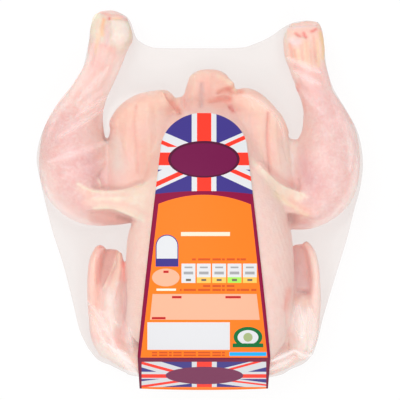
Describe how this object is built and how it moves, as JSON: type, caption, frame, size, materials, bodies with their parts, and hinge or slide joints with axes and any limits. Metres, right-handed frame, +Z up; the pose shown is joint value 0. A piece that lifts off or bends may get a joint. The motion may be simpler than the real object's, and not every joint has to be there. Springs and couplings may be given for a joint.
{
  "type": "packed whole raw chicken",
  "caption": "Raw whole chicken on its back in a clear shrink bag, legs spread, with an orange and purple printed card folded over the breast.",
  "frame": {"origin": "On the resting plane, under the middle of the pack's bounding box.", "axes": "+Z up through the breast, +Y from the neck end towards the legs, +X to the right seen from above with the legs at the top."},
  "size_m": [0.2556, 0.2991, 0.1085],
  "materials": {
    "raw_skin_under_film": "raw chicken skin seen through a tight clear film: wet gloss",
    "printed_card": "satin printed card"
  },
  "bodies": {
    "root": {"bag": "raw_skin_under_film", "card": "printed_card"}
  },
  "joints": []
}
